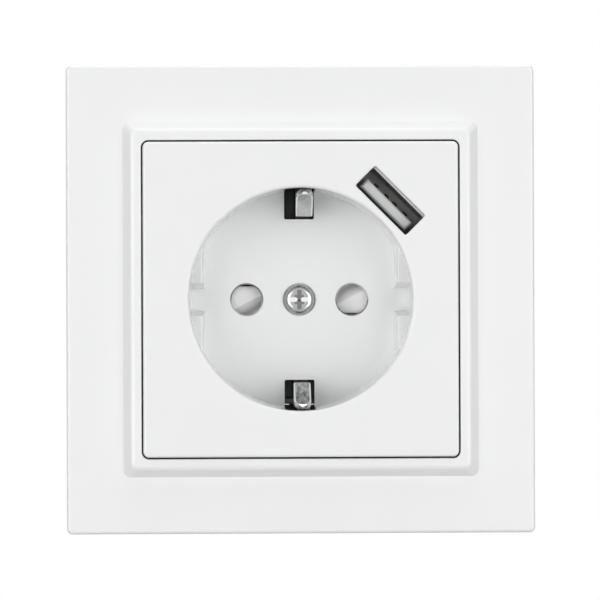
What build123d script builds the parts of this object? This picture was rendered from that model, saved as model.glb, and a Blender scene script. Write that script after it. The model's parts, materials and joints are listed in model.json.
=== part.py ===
from build123d import *
from math import atan, degrees, hypot, radians, sqrt, tan
import os

# An earthed wall socket with a USB charging port, in millimetres.
# It is modelled lying on its back: x to the right, y up the wall, z out of the wall,
# with z = 0 on the wall. The export at the end stands it upright.

# Depths, from the front of the plate back into the wall box
PLATE_FRONT = 10.4
PLATE_THICK = 2.2
WELL_DEPTH = 17.5
FLOOR_THICK = 2.2
SHUTTER_SLIP = 0.2
SHUTTER_THICK = 3.4
SHUTTER_ROOM = 0.3
BASE_DEPTH = 15.3
COVER_DEPTH = 6.0
PLATE_BACK = PLATE_FRONT - PLATE_THICK
FLOOR_TOP = PLATE_FRONT - WELL_DEPTH
FLOOR_BACK = FLOOR_TOP - FLOOR_THICK
SHUTTER_FRONT = FLOOR_BACK - SHUTTER_SLIP
SHUTTER_BACK = SHUTTER_FRONT - SHUTTER_THICK
PLATFORM = SHUTTER_BACK - SHUTTER_ROOM
BASE_REAR = PLATFORM - BASE_DEPTH
COVER_REAR = BASE_REAR - COVER_DEPTH

# Clearances and edges that many pieces share
LAP = 0.1
SCREW_SLIP = 0.03
TAPPED_SLIP = 0.02
HOLE_ROOM = 0.1
SEAT_SLIP = 0.05
SMALL_EDGE = 0.3

# Centre plate and plug well
PLATE_SIDE = 55.0
PLATE_GAP = 0.3
PLATE_CORNER = 1.0
PLATE_EDGE = 0.45
SKIRT_GAP = 0.4
SKIRT_WALL = 1.2
SKIRT_DEEP = 3.0
GUSSET_THICK = 1.2
WELL_R = 19.5
WELL_WALL = 1.6
RIM_EDGE = 0.5
PIN_PITCH = 19.0
PIN_HOLE_R = 2.775
PIN_LEAD = 0.25
GUIDE_CHORD = 17.1
GUIDE_DROP = 5.0
GUIDE_EDGE = 0.4
KEY_TOP = 5.9
KEY_FLOOR = 4.1
WINDOW_WIDE = 5.4
WINDOW_INNER = 14.5
WINDOW_DROP = 3.0
WINDOW_DEEP = 1.4
APERTURE = PLATE_SIDE + 2 * PLATE_GAP
WELL_OUTER_R = WELL_R + WELL_WALL

# Cover frame, around the slots of the support ring that it hides
FRAME_CORNER = 1.0
FRAME_EDGE = 0.6
FRAME_WALL = 2.0
BORDER_SINK = 0.4
BORDER_RISE = 1.8
BORDER_WIDE = 1.7
BORDER_EDGE = 0.25
BEVEL_RUN = 1.55
BEVEL_ROUND = 1.1
BEVEL_CORNER = 1.2
COLLAR_WALL = 1.6
COLLAR_DEEP = 3.8
LEDGE_REACH = 1.7
LEDGE_THICK = 1.6
RIB_THICK = 1.2
RIB_AT = 20.0
RIB_BACK = 2.4
RING_MARGIN = 3.5
BOX_SCREW_PITCH = 60.0
BOX_SLOT_WIDE = 3.6
BOX_SLOT_LONG = 5.2
BOX_SLOT_EDGE = 2.9
RING_SIDE = BOX_SCREW_PITCH + BOX_SLOT_LONG + 2 * BOX_SLOT_EDGE
FRAME_SIDE = RING_SIDE + 2 * RING_MARGIN + 2 * FRAME_WALL
BORDER_TOP = PLATE_FRONT - BORDER_SINK
BORDER_SIDE = APERTURE + 2 * BORDER_WIDE
FRAME_FACE = BORDER_TOP - BORDER_RISE

# Screws: the stout ones of the plate, claws and terminals, and the small ones
SCREW_R = 1.75
HEAD_R = 2.75
HEAD_RISE = 1.3
HEAD_SEAT = 0.7
HEAD_ROUND = 1.1
HEAD_ROOM = 0.2
CROSS_REACH = 1.75
CROSS_WIDE = 0.8
CROSS_DEEP = 0.7
CROSS_POINT = 0.65
RAY_REACH = 1.1
RAY_WIDE = 0.45
RAY_DEEP = 0.6
SCREW_BITE = 4.0
SMALL_SCREW_R = 1.2
SMALL_HEAD_R = 2.2
SMALL_HEAD_RISE = 1.1
SMALL_CROSS_REACH = 1.3
SMALL_CROSS_WIDE = 0.5
SMALL_CROSS_DEEP = 0.7
SMALL_SCREW_LONG = 11.0

# Shutter
HUB_R = 4.0
HUB_SLIP = 0.08
SPRING_OUT = 1.3
SPRING_WIRE = 0.4
SPRING_TURNS = 2.5
SPRING_PITCH = 0.45
SPRING_POCKET = 1.8
SHUTTER_RIM = 1.9
WING_HALF = 3.5
WING_SHORT = 2.45
WING_REACH = 13.2
RAMP_TURN = 27.0
RAMP_OFFSET = 0.5
RAMP_SLOPE = 38.0
RAMP_DROP = 1.4
SHUTTER_TURN = 42.0
STOP_R = 0.7
STOP_INSET = 0.8
STOP_SLIP = 0.05
STOP_SINK = 0.7
SPRING_R = HUB_R + SPRING_OUT
SHUTTER_HUB = SPRING_R + SHUTTER_RIM

# USB port, in its own axes: x along its opening, y away from the well
USB_TILT = -45.0
USB_WIDE = 12.35
USB_HIGH = 4.86
USB_CORNER = 0.35
USB_EDGE = 0.2
USB_SLIP = 0.08
PORT_LAND = 1.26
PORT_SHIFT = -1.06
SHELL_STEP = 0.075
SHELL_DROP = 0.29
SHELL_SHEET = 0.3
SHELL_CORNER = 0.35
SHELL_LONG = 13.7
SPRING_TAB_AT = 3.2
SPRING_TAB_WIDE = 1.6
SPRING_TAB_LONG = 5.5
SPRING_TAB_FRONT = 3.8
SPRING_TAB_CUT = 0.4
TONGUE_WIDE = 10.9
TONGUE_THICK = 1.84
TONGUE_EDGE = 0.7
TONGUE_SINK = 3.4
TONGUE_ROOT = 4.0
CONTACT_WIDE = 1.0
CONTACT_THICK = 0.25
CONTACT_RISE = 0.6
CONTACT_CROWN = 2.8
CONTACT_FOOT = 6.2
CONTACT_END = 1.0
CONTACT_BEND = 0.3
CONTACT_INNER = 1.0
CONTACT_OUTER = 3.5
USB_BOARD_THICK = 1.2
USB_BOARD_WIDE = 11.4
USB_BOARD_DROP = 3.2
PORT_OUT = WELL_R + PORT_LAND + USB_HIGH / 2
SHELL_FRONT = PLATE_BACK - HOLE_ROOM
SHELL_BACK = SHELL_FRONT - SHELL_LONG
SHELL_WIDE = USB_WIDE + 2 * SHELL_STEP
SHELL_NEAR = -SHELL_DROP - USB_HIGH / 2 - SHELL_SHEET
BOARD_NEAR = -SHELL_DROP + USB_HIGH / 2 + SHELL_SHEET
BOARD_FAR = BOARD_NEAR + USB_BOARD_THICK
TONGUE_FRONT = PLATE_FRONT - TONGUE_SINK
TONGUE_LOW = -USB_HIGH / 2 + TONGUE_EDGE
TONGUE_TOP = TONGUE_LOW + TONGUE_THICK

# Earth yoke
YOKE_THICK = 1.0
YOKE_WIDE = 8.0
YOKE_BOSS = 1.2
YOKE_BOSS_WALL = 0.9
CLIP_WIDE = 3.0
CLIP_SHIFT_TOP = 0.8
CLIP_SHIFT_BOTTOM = 0.35
CLIP_CLEAR = 0.6
CLIP_CROWN_IN = 0.7
CLIP_CROWN_RISE = 5.5
CLIP_TIP_IN = 0.7
CLIP_TIP_DROP = 4.0
CLIP_ROOT_RISE = 3.7
CLIP_FOOT = 11.0
CLIP_FOOT_LAP = 2.0
CLIP_ROUND = 2.4
CLIP_BEND = 0.8
CLIP_EDGE = 0.3
ARM_CLEAR = 0.6
ARM_SIDE = 0.8
CLIP_ARM = WELL_OUTER_R + CLIP_CLEAR + YOKE_THICK / 2
ARM_ROOM = CLIP_ARM + YOKE_THICK / 2 + ARM_CLEAR
ARM_ROOM_HALF = CLIP_WIDE / 2 + CLIP_SHIFT_TOP + ARM_SIDE

# Support ring
RING_THICK = 1.2
RING_CUT = 11.0
RING_CLEAR = 0.6
RING_SCREW_OUT = 4.64
RING_SCREW_AT = (WELL_OUTER_R + RING_SCREW_OUT) / sqrt(2)

# Contact base and rear cover
WELL_CLEAR = 0.4
BASE_WALL = 2.5
BASE_CORNER = 3.0
PORT_WALL = 1.3
PORT_SIDE_WALL = 1.5
COVER_WALL = 1.5
COVER_SCREW_IN = 4.0
COVER_SCREW_Y = 11.0
COVER_POST_R = 3.0
WIRE_SLOT_WIDE = 3.2
WIRE_SLOT_LONG = 7.0
BOARD_POST_R = 1.5
BOARD_POST_X = 6.5
BOARD_POST_LOW = -10.0
BOARD_POST_HIGH = 3.5
WELL_ROOM_R = WELL_OUTER_R + WELL_CLEAR
BASE_SIDE = 2 * (WELL_ROOM_R + BASE_WALL)
BASE_R = hypot(PORT_OUT + BOARD_FAR, USB_BOARD_WIDE / 2 - PORT_SHIFT) + PORT_WALL
COVER_SCREW_X = BASE_SIDE / 2 - COVER_SCREW_IN

# Line contacts and terminals
LEAF_THICK = 0.8
LEAF_WIDE = 6.0
LEAF_GRIP = 2.75
LEAF_MOUTH = 3.4
LEAF_HALF = 3.2
LEAF_BEND = 0.6
LEAF_FRONT = 0.9
LEAF_GRIP_DROP = 3.6
LEAF_SIDE_DROP = 8.0
LEAF_RISE = 1.5
POCKET_ROOM = 0.6
POCKET_SIDE = 0.3
TAB_WIDE = 1.0
TAB_HIGH = 1.6
TAB_END = 0.4
LUG_THICK = 1.0
LUG_WIDE = 6.0
LUG_IN = 5.4
LUG_DROP = 4.2
TERMINAL_X = 13.6
TERMINAL_DROP = 8.8
TERMINAL_HALF = 3.6
TERMINAL_TOP_ROOM = 2.0
TERMINAL_FRONT_DROP = 3.0
TERMINAL_HEAD_R = 2.6
TERMINAL_HEAD_RISE = 1.6
TERMINAL_CROSS_REACH = 1.6
TERMINAL_CROSS_WIDE = 0.6
TERMINAL_CROSS_DEEP = 0.9
TERMINAL_SCREW_PAST = 1.4
WIRE_GAP = 2.3
CLAMP_THICK = 1.0
CLAMP_SIDE = 6.4
LEAF_BACK = BASE_REAR + LEAF_RISE
POCKET_END = LEAF_BACK - POCKET_ROOM
TERMINAL_Z = PLATFORM - TERMINAL_DROP
TERMINAL_FRONT = PLATFORM - TERMINAL_FRONT_DROP
LUG_Y = LUG_IN - BASE_SIDE / 2
CLAMP_Y = LUG_Y - LUG_THICK / 2 - WIRE_GAP
TERMINAL_TOP = LUG_Y + TERMINAL_TOP_ROOM

# Claws
CLAW_SCREW_OUT = 3.4
CLAW_LEVER = 4.5
CLAW_DROP = 3.8
CLAW_PIN_R = 1.0
CLAW_PIN_BITE = 2.7
CLAW_PIN_SLIP = 0.05
CLAW_KNUCKLE_R = 2.0
CLAW_THICK = 1.5
CLAW_HALF = 4.0
CLAW_FORK_HALF = 2.1
CLAW_FORK_LONG = 5.0
CLAW_FORK_ROOM = 0.5
CLAW_ELBOW = 4.8
CLAW_BEND = 1.2
CLAW_REACH = 7.2
CLAW_FALL = 5.2
CLAW_TEETH = 3
CLAW_TOOTH = 1.41
CLAW_ROOM = 0.3
CLAW_SCREW_ROOM = 0.4
CLAW_SCREW_PAST = 3.2
CLAW_HEAD_RISE = 1.8
CLAW_HEAD_EDGE = 0.5
CLAW_CROSS_REACH = 1.6
CLAW_CROSS_WIDE = 0.6
CLAW_CROSS_DEEP = 1.0
CLAW_NUT_SLIP = 0.1
CLAW_NUT_LONG = 5.0
CLAW_NUT_THICK = 2.0
CLAW_SCREW_X = WELL_OUTER_R + CLAW_SCREW_OUT
CLAW_PIVOT_X = CLAW_SCREW_X - CLAW_LEVER
CLAW_PIVOT_Z = PLATFORM - CLAW_DROP
CLAW_PIN_HALF = CLAW_HALF + CLAW_ROOM + CLAW_PIN_BITE
CLAW_SCREW_END = CLAW_PIVOT_Z - CLAW_SCREW_PAST

# Charger: its board, behind the base, and the room for what stands on it
BOARD_STAND = 1.9
BOARD_THICK = 1.2
BOARD_ROOM = 0.6
BOARD_SIDE_ROOM = 0.9
BOARD_RIM_ROOM = 0.3
BOARD_LOW_ROOM = 0.8
COVER_SPLIT_ROOM = 4.0
POWER_WALL = 2.6
POWER_SIDE_WALL = 4.0
POWER_LOW_WALL = 2.4
POWER_FRONT_WALL = 1.3
POWER_SPARE = 5.2
CORE_DEEP = 6.0
CORE_TALL = 12.0
CORE_LEG = 1.9
CORE_SIDE = 1.8
CORE_YOKE = 2.0
WINDING_DEEP = 10.0
INPUT_CAP_R = 3.8
INPUT_CAP_TALL = 11.5
OUTPUT_CAP_R = 3.1
OUTPUT_CAP_TALL = 10.0
CAP_EDGE = 0.5
CAP_SPACE = 0.5
CAP_GAP = 0.4
CHIP_WIDE = 5.0
CHIP_HIGH = 4.0
CHIP_TALL = 1.6
CHIP_SPACE = 1.0
BRIDGE_X = -8.0
BRIDGE_Y = -4.0
BRIDGE_WIDE = 6.0
BRIDGE_HIGH = 5.0
BRIDGE_TALL = 1.7
BOARD_FRONT = BASE_REAR - BOARD_STAND
BOARD_REAR = BOARD_FRONT - BOARD_THICK
COVER_SPLIT = LUG_Y + COVER_SPLIT_ROOM
BOARD_HALF = COVER_SCREW_X - COVER_POST_R - BOARD_ROOM
BOARD_LOW = COVER_SPLIT + BOARD_LOW_ROOM
BOARD_HIGH = BASE_SIDE / 2 - COVER_WALL - BOARD_SIDE_ROOM
POCKET_X = LEAF_WIDE / 2 + POCKET_ROOM
POCKET_Y = LEAF_MOUTH + LEAF_THICK / 2 + POCKET_SIDE
POWER_HALF = COVER_SCREW_X - POWER_SIDE_WALL
POWER_LOW = POCKET_Y + POWER_LOW_WALL
POWER_HIGH = BASE_SIDE / 2 - POWER_WALL
POWER_FRONT = PLATFORM - YOKE_THICK - POWER_FRONT_WALL
POWER_MIDDLE = (POWER_LOW + POWER_HIGH) / 2
INPUT_CAP_X = INPUT_CAP_R + CAP_GAP - POWER_HALF
CORE_WIDE = 2 * (POWER_HALF - INPUT_CAP_R - OUTPUT_CAP_R) - POWER_SPARE
CORE_X = INPUT_CAP_X + INPUT_CAP_R + CAP_SPACE + CORE_WIDE / 2


def block(x, y, z):
    """A box from its three ranges."""
    size = Box(x[1] - x[0], y[1] - y[0], z[1] - z[0])
    return Pos((x[0] + x[1]) / 2, (y[0] + y[1]) / 2, (z[0] + z[1]) / 2) * size


def around(middle, wide):
    """The range of that width around a middle."""
    return middle - wide / 2, middle + wide / 2


def disc(r, z, x=0.0, y=0.0):
    """A cylinder along z between two heights."""
    return Pos(x, y, (z[0] + z[1]) / 2) * Cylinder(r, z[1] - z[0])


def rod(r, y, x, z):
    """A cylinder along y between two ends."""
    return Pos(x, (y[0] + y[1]) / 2, z) * Rot(90, 0, 0) * Cylinder(r, y[1] - y[0])


def prism(outline, z):
    """An outline carried from one height to another."""
    return extrude(Pos(0, 0, z[0]) * outline, z[1] - z[0])


def square(side, corner=0.0):
    """A centred square, with rounded corners if a radius is given."""
    return RectangleRounded(side, side, corner) if corner else Rectangle(side, side)


def strip(points, thick, bend, x):
    """A bent sheet strip: a path in the y-z plane, given a thickness and carried along x."""
    path = FilletPolyline(*points, radius=bend)
    outline = make_face(offset(path, thick / 2, kind=Kind.ARC, side=Side.BOTH))
    return extrude(Plane.YZ.offset(x[0]) * outline, x[1] - x[0])


def mirrored(solid):
    """The same piece on the left side."""
    return mirror(solid, Plane.YZ)


def in_port(solid):
    """Moves a shape from the port's own axes to its place in the plate."""
    return Rot(0, 0, USB_TILT) * Pos(PORT_SHIFT, PORT_OUT, 0) * solid


def cross_recess(reach, wide, z):
    """The tool that sinks a cross recess into a screw head."""
    bar = block((-reach, reach), (-wide / 2, wide / 2), z)
    return bar + Rot(0, 0, 90) * bar


def small_screw(long):
    """A pan head screw with its shank pointing to -z and the underside of its head at z = 0."""
    head = disc(SMALL_HEAD_R, (0, SMALL_HEAD_RISE))
    head = chamfer(head.edges().group_by(Axis.Z)[-1], SMALL_EDGE)
    recess = (SMALL_HEAD_RISE - SMALL_CROSS_DEEP, SMALL_HEAD_RISE)
    head -= cross_recess(SMALL_CROSS_REACH, SMALL_CROSS_WIDE, recess)
    return head + disc(SMALL_SCREW_R, (-long, 0))


def bevelled_border():
    """The raised border: its bevel leans in from the foot and rounds over to the flat top."""
    foot = Pos(0, 0, FRAME_FACE) * square(BORDER_SIDE + 2 * BEVEL_RUN, BEVEL_CORNER)
    top = Pos(0, 0, BORDER_TOP) * square(BORDER_SIDE, BEVEL_CORNER)
    border = loft([foot, top], ruled=True)
    return fillet(border.edges().group_by(Axis.Z)[-1], BEVEL_ROUND)


def cover_frame():
    body = prism(square(FRAME_SIDE), (0, FRAME_FACE))
    body = fillet(body.edges().filter_by(Axis.Z), FRAME_CORNER)
    body = fillet(body.edges().group_by(Axis.Z)[-1], FRAME_EDGE)
    body += bevelled_border()
    inside = FRAME_FACE - FRAME_WALL
    collar = APERTURE + 2 * COLLAR_WALL
    collar_back = PLATE_BACK - COLLAR_DEEP
    body -= prism(square(FRAME_SIDE - 2 * FRAME_WALL) - square(collar), (0, inside))
    body -= prism(square(collar), (0, collar_back))
    body -= prism(square(APERTURE, PLATE_CORNER + PLATE_GAP), (0, BORDER_TOP))
    reach = APERTURE / 2 + SEAT_SLIP
    rim = body.edges().group_by(Axis.Z)[-1]
    rim = rim.filter_by(lambda e: max(abs(e.center().X), abs(e.center().Y)) < reach)
    body = fillet(rim, BORDER_EDGE)
    ledge = square(APERTURE + COLLAR_WALL) - square(APERTURE - 2 * LEDGE_REACH, PLATE_CORNER)
    body += prism(ledge, (PLATE_BACK - LEDGE_THICK, PLATE_BACK))
    for side in range(4):
        for at in (-RIB_AT, RIB_AT):
            y = around(at, RIB_THICK)
            rib = block((collar / 2 - LAP, FRAME_SIDE / 2 - FRAME_WALL + LAP), y, (RIB_BACK, inside + LAP))
            rib -= block((0, collar / 2), y, (0, collar_back))
            body += Rot(0, 0, 90 * side) * rib
    return body


def guide_ledges():
    """The two flats beside the pins, each split by a key channel whose sides lean apart to the front."""
    top = PLATE_FRONT - GUIDE_DROP
    ledge = disc(WELL_R + LAP, (FLOOR_TOP, top))
    ledge &= block((GUIDE_CHORD, WELL_OUTER_R), (-WELL_R, WELL_R), (FLOOR_TOP, top))
    edge = ledge.edges().group_by(Axis.Z)[-1].sort_by(Axis.X)[0]
    ledge = fillet(edge, GUIDE_EDGE)
    channel = Polygon(
        (-KEY_FLOOR / 2, FLOOR_TOP),
        (KEY_FLOOR / 2, FLOOR_TOP),
        (KEY_TOP / 2, top),
        (-KEY_TOP / 2, top),
        align=None,
    )
    ledge -= extrude(Plane.YZ.offset(GUIDE_CHORD - LAP) * channel, WELL_R)
    return ledge + Rot(0, 0, 180) * ledge


def plate_cover():
    """The flat of the centre plate with its skirt and the gussets that tie the well to it."""
    body = prism(square(PLATE_SIDE, PLATE_CORNER), (PLATE_BACK, PLATE_FRONT))
    body = fillet(body.edges().group_by(Axis.Z)[-1], PLATE_EDGE)
    skirt = APERTURE - 2 * LEDGE_REACH - 2 * SKIRT_GAP
    z = (PLATE_BACK - SKIRT_DEEP, PLATE_BACK + LAP)
    body += prism(square(skirt) - square(skirt - 2 * SKIRT_WALL), z)
    for turn in (135, 225, 315):
        gusset = Rot(0, 0, turn) * block((WELL_R + LAP, PLATE_SIDE), around(0, GUSSET_THICK), z)
        body += gusset & prism(square(skirt - LAP), z)
    return body


def port_opening():
    """What the port takes out of the plate: its opening, and behind it the room of its shell."""
    opening = prism(RectangleRounded(USB_WIDE, USB_HIGH, USB_CORNER), (PLATE_BACK - LAP, PLATE_FRONT))
    half = SHELL_WIDE / 2 + SHELL_SHEET + USB_SLIP
    room = block((-half, half), (SHELL_NEAR - USB_SLIP, BOARD_NEAR + USB_SLIP), (FLOOR_BACK, PLATE_BACK))
    return in_port(opening + room)


def centre_plate():
    body = plate_cover()
    body += disc(WELL_OUTER_R, (FLOOR_BACK, PLATE_BACK + LAP))
    body -= disc(WELL_R, (FLOOR_TOP, PLATE_FRONT))
    rim = body.edges().group_by(Axis.Z)[-1].filter_by(GeomType.CIRCLE)
    body = fillet(rim.filter_by(lambda e: abs(e.radius - WELL_R) < LAP), RIM_EDGE)
    body += guide_ledges()

    for x in (-PIN_PITCH / 2, PIN_PITCH / 2):
        body -= disc(PIN_HOLE_R, (FLOOR_BACK, FLOOR_TOP), x)
        body -= Pos(x, 0, FLOOR_TOP - PIN_LEAD / 2) * Cone(PIN_HOLE_R, PIN_HOLE_R + PIN_LEAD, PIN_LEAD)
    body += disc(HUB_R, (PLATFORM, FLOOR_BACK))
    body -= disc(HEAD_R + HEAD_ROOM, (FLOOR_TOP - HEAD_SEAT, FLOOR_TOP))
    body -= disc(SCREW_R + SCREW_SLIP, (PLATFORM, FLOOR_TOP))

    wall = (WINDOW_INNER, WELL_OUTER_R + WINDOW_DEEP)
    window = block(around(0, WINDOW_WIDE), wall, (FLOOR_BACK, PLATE_FRONT - WINDOW_DROP))
    corners = window.edges().filter_by(Axis.Z).group_by(Axis.Y)[0]
    window = fillet(corners, SMALL_EDGE)
    body -= window + Rot(0, 0, 180) * window

    body -= port_opening()
    brim = in_port(block(around(0, USB_WIDE + LAP), around(0, USB_HIGH + LAP), (PLATE_BACK, PLATE_FRONT)))
    edges = body.edges().group_by(Axis.Z)[-1]
    edges = edges.filter_by(lambda e: brim.is_inside(e.center() - Vector(0, 0, LAP)))
    return fillet(edges, USB_EDGE)


def centre_screw():
    seat = FLOOR_TOP - HEAD_SEAT
    top = FLOOR_TOP + HEAD_RISE
    head = disc(HEAD_R, (seat, top))
    head = fillet(head.edges().group_by(Axis.Z)[-1], HEAD_ROUND)
    floor = top - CROSS_DEEP
    driver = disc(CROSS_REACH, (floor, top))
    driver += Pos(0, 0, floor - CROSS_POINT / 2) * Cone(0, CROSS_REACH, CROSS_POINT)
    head -= cross_recess(CROSS_REACH, CROSS_WIDE, (floor - CROSS_POINT, top)) & driver
    head -= Rot(0, 0, 45) * cross_recess(RAY_REACH, RAY_WIDE, (top - RAY_DEEP, top))
    return head + disc(SCREW_R, (PLATFORM - SCREW_BITE, seat))


def wing_ramp():
    """What is cut from the right wing, so that a pin pressing on the slope that is left turns the rotor."""
    run = RAMP_DROP / tan(radians(RAMP_SLOPE))
    reach = run + 2 * WING_HALF
    side = Polygon((0, 0), (run, -RAMP_DROP), (reach, -RAMP_DROP), (reach, LAP), (0, LAP), align=None)
    ramp = extrude(Plane.YZ.offset(-WING_REACH / 2) * side, WING_REACH)
    ramp = Pos(PIN_PITCH / 2, RAMP_OFFSET, SHUTTER_FRONT) * Rot(0, 0, RAMP_TURN) * ramp
    z = (SHUTTER_BACK, SHUTTER_FRONT + LAP)
    ramp -= disc(HUB_R + SPRING_OUT + SPRING_WIRE, z)
    return ramp & block((0, 2 * WING_REACH), (-WING_REACH, WING_REACH), z)


def shutter():
    """A rotor with two wings. A pin pressing on a wing's ramp turns the rotor clear of both holes."""
    z = (SHUTTER_BACK, SHUTTER_FRONT)
    body = disc(SHUTTER_HUB, z)
    wing = block((0, WING_REACH), (-WING_SHORT, WING_HALF), z) & disc(WING_REACH, z)
    body += wing
    body += Rot(0, 0, 180) * wing
    body -= wing_ramp()
    body -= Rot(0, 0, 180) * wing_ramp()
    body -= disc(HUB_R + HUB_SLIP, z)
    body -= disc(SPRING_R + 2 * SPRING_WIRE, (SHUTTER_BACK, SHUTTER_BACK + SPRING_POCKET))
    return body


def shutter_spring():
    """A small torsion spring of square wire in the rotor's rear pocket."""
    low = PLATFORM + HOLE_ROOM + SPRING_WIRE / 2
    path = Helix(SPRING_PITCH, SPRING_PITCH * SPRING_TURNS, SPRING_R, center=(0, 0, low))
    section = Plane(path @ 0, x_dir=(1, 0, 0), z_dir=path % 0) * Rectangle(SPRING_WIRE, SPRING_WIRE)
    return sweep(section, path=path, is_frenet=True)


def shell_outline(sheet):
    """The shell's outline, grown by the sheet's thickness for its outer face."""
    outline = RectangleRounded(SHELL_WIDE + 2 * sheet, USB_HIGH + 2 * sheet, SHELL_CORNER + sheet)
    return Pos(0, -SHELL_DROP) * outline


def usb_shell():
    """A folded sheet shell with two spring tabs cut free in each of its long sides."""
    body = prism(shell_outline(SHELL_SHEET) - shell_outline(0), (SHELL_BACK, SHELL_FRONT))
    front = SHELL_FRONT - SPRING_TAB_FRONT
    z = (front - SPRING_TAB_LONG, front)
    for x in (-SPRING_TAB_AT, SPRING_TAB_AT):
        wide = SPRING_TAB_WIDE + 2 * SPRING_TAB_CUT
        cut = block(around(x, wide), (-USB_HIGH, USB_HIGH), (z[0], z[1] + SPRING_TAB_CUT))
        body -= cut - block(around(x, SPRING_TAB_WIDE), (-USB_HIGH, USB_HIGH), z)
    return in_port(body)


def contact_places():
    return [-CONTACT_OUTER, -CONTACT_INNER, CONTACT_INNER, CONTACT_OUTER]


def usb_tongue():
    wide = SHELL_WIDE - USB_SLIP
    high = USB_HIGH - USB_SLIP
    root = Pos(0, -SHELL_DROP) * RectangleRounded(wide, high, SHELL_CORNER)
    body = prism(root, (SHELL_BACK, SHELL_BACK + TONGUE_ROOT))
    tongue = block(around(0, TONGUE_WIDE), (TONGUE_LOW, TONGUE_TOP), (SHELL_BACK, TONGUE_FRONT))
    body += chamfer(tongue.edges().group_by(Axis.Z)[-1], SMALL_EDGE)
    groove = (TONGUE_TOP - CONTACT_THICK, TONGUE_TOP + SEAT_SLIP)
    z = (SHELL_BACK, TONGUE_FRONT - CONTACT_END + SEAT_SLIP)
    for x in contact_places():
        body -= block(around(x, CONTACT_WIDE + 2 * SEAT_SLIP), groove, z)
    return in_port(body)


def usb_contacts():
    """Four sprung contacts: from the port's board, along grooves in the tongue, bowed up near its front."""
    half = CONTACT_THICK / 2
    flat = TONGUE_TOP - half
    front = TONGUE_FRONT - CONTACT_END - half
    points = [
        (BOARD_NEAR - half, SHELL_BACK - half),
        (flat, SHELL_BACK - half),
        (flat, TONGUE_FRONT - CONTACT_FOOT),
        (flat + CONTACT_RISE, TONGUE_FRONT - CONTACT_CROWN),
        (flat, front),
    ]
    return Compound(
        children=[
            in_port(strip(points, CONTACT_THICK, CONTACT_BEND, around(x, CONTACT_WIDE)))
            for x in contact_places()
        ]
    )


def usb_board():
    z = (BOARD_REAR, PLATE_BACK - USB_BOARD_DROP)
    return in_port(block(around(0, USB_BOARD_WIDE), (BOARD_NEAR, BOARD_FAR), z))


def box_slots():
    """Four slots, left, right, top and bottom, for the screws of the wall box."""
    slot = Pos(BOX_SCREW_PITCH / 2, 0) * SlotOverall(BOX_SLOT_LONG, BOX_SLOT_WIDE)
    slots = slot
    for turn in (90, 180, 270):
        slots += Rot(0, 0, turn) * slot
    return slots


def ring_screw_places():
    at = RING_SCREW_AT
    return [(-at, at), (-at, -at), (at, -at)]


def port_room(slack):
    """The outline that the port and its board take up, with room around it."""
    half = SHELL_WIDE / 2 + SHELL_SHEET + slack
    near = SHELL_NEAR - slack
    far = BOARD_FAR + slack
    return in_port(Pos(0, (near + far) / 2) * Rectangle(2 * half, far - near))


def support_ring():
    outline = chamfer(square(RING_SIDE).vertices(), RING_CUT)
    outline -= Circle(WELL_OUTER_R + RING_CLEAR)
    outline -= Rectangle(2 * ARM_ROOM_HALF, 2 * ARM_ROOM)
    outline -= port_room(RING_CLEAR)
    outline -= box_slots()
    for x in (-CLAW_SCREW_X, CLAW_SCREW_X):
        outline -= Pos(x, 0) * Circle(SCREW_R + HOLE_ROOM)
    for x, y in ring_screw_places():
        outline -= Pos(x, y) * Circle(SMALL_SCREW_R + HOLE_ROOM)
    return prism(outline, (0, RING_THICK))


def ring_screws():
    screw = small_screw(SMALL_SCREW_LONG)
    return Compound(children=[Pos(x, y, RING_THICK) * screw for x, y in ring_screw_places()])


def earth_clip(shift):
    """One sprung arm: up beside the well, in through its window to the crown and out again to the tip."""
    foot = PLATFORM - YOKE_THICK / 2
    crown = (WINDOW_INNER + CLIP_CROWN_IN, FLOOR_TOP + CLIP_CROWN_RISE)
    tip = (WELL_R - CLIP_TIP_IN, PLATE_FRONT - CLIP_TIP_DROP)
    points = [
        (CLIP_ARM - CLIP_FOOT, foot),
        (CLIP_ARM, foot),
        (CLIP_ARM, PLATFORM + CLIP_ROOT_RISE),
        crown,
        tip,
    ]
    half = CLIP_WIDE / 2
    arm = strip(points, YOKE_THICK, CLIP_BEND, around(shift, CLIP_WIDE))
    edges = arm.edges().filter_by(lambda e: abs(abs(e.center().X - shift) - half) < SEAT_SLIP)
    arm = fillet(edges, CLIP_EDGE)
    run = (Vector(0, *tip) - Vector(0, *crown)).normalized()
    end = Vector(shift, *tip) + run * (YOKE_THICK / 2)
    flat = Plane(end, x_dir=(1, 0, 0), z_dir=Vector(1, 0, 0).cross(run))
    corners = Rectangle(2 * CLIP_WIDE, 2 * CLIP_ROUND) - Pos(0, -CLIP_ROUND) * Ellipse(half, CLIP_ROUND)
    return arm - extrude(flat * corners, YOKE_THICK, both=True)


def earth_yoke():
    reach = CLIP_ARM - CLIP_FOOT + CLIP_FOOT_LAP
    rear = PLATFORM - YOKE_THICK
    body = block(around(0, YOKE_WIDE), (-reach, reach), (rear, PLATFORM))
    body += earth_clip(CLIP_SHIFT_TOP)
    body += Rot(0, 0, 180) * earth_clip(-CLIP_SHIFT_BOTTOM)
    body += lug(0.0, PLATFORM)
    body += disc(SCREW_R + YOKE_BOSS_WALL, (rear - YOKE_BOSS, rear))
    body -= disc(SCREW_R + SCREW_SLIP, (rear - YOKE_BOSS, PLATFORM))
    return body


def lug(x, front):
    """A terminal lug: a flat tab with the hole that its screw turns in."""
    y = around(LUG_Y, LUG_THICK)
    tab = block(around(x, LUG_WIDE), y, (LEAF_BACK + LUG_THICK, front))
    return tab - rod(SCREW_R + SCREW_SLIP, y, x, TERMINAL_Z)


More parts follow.
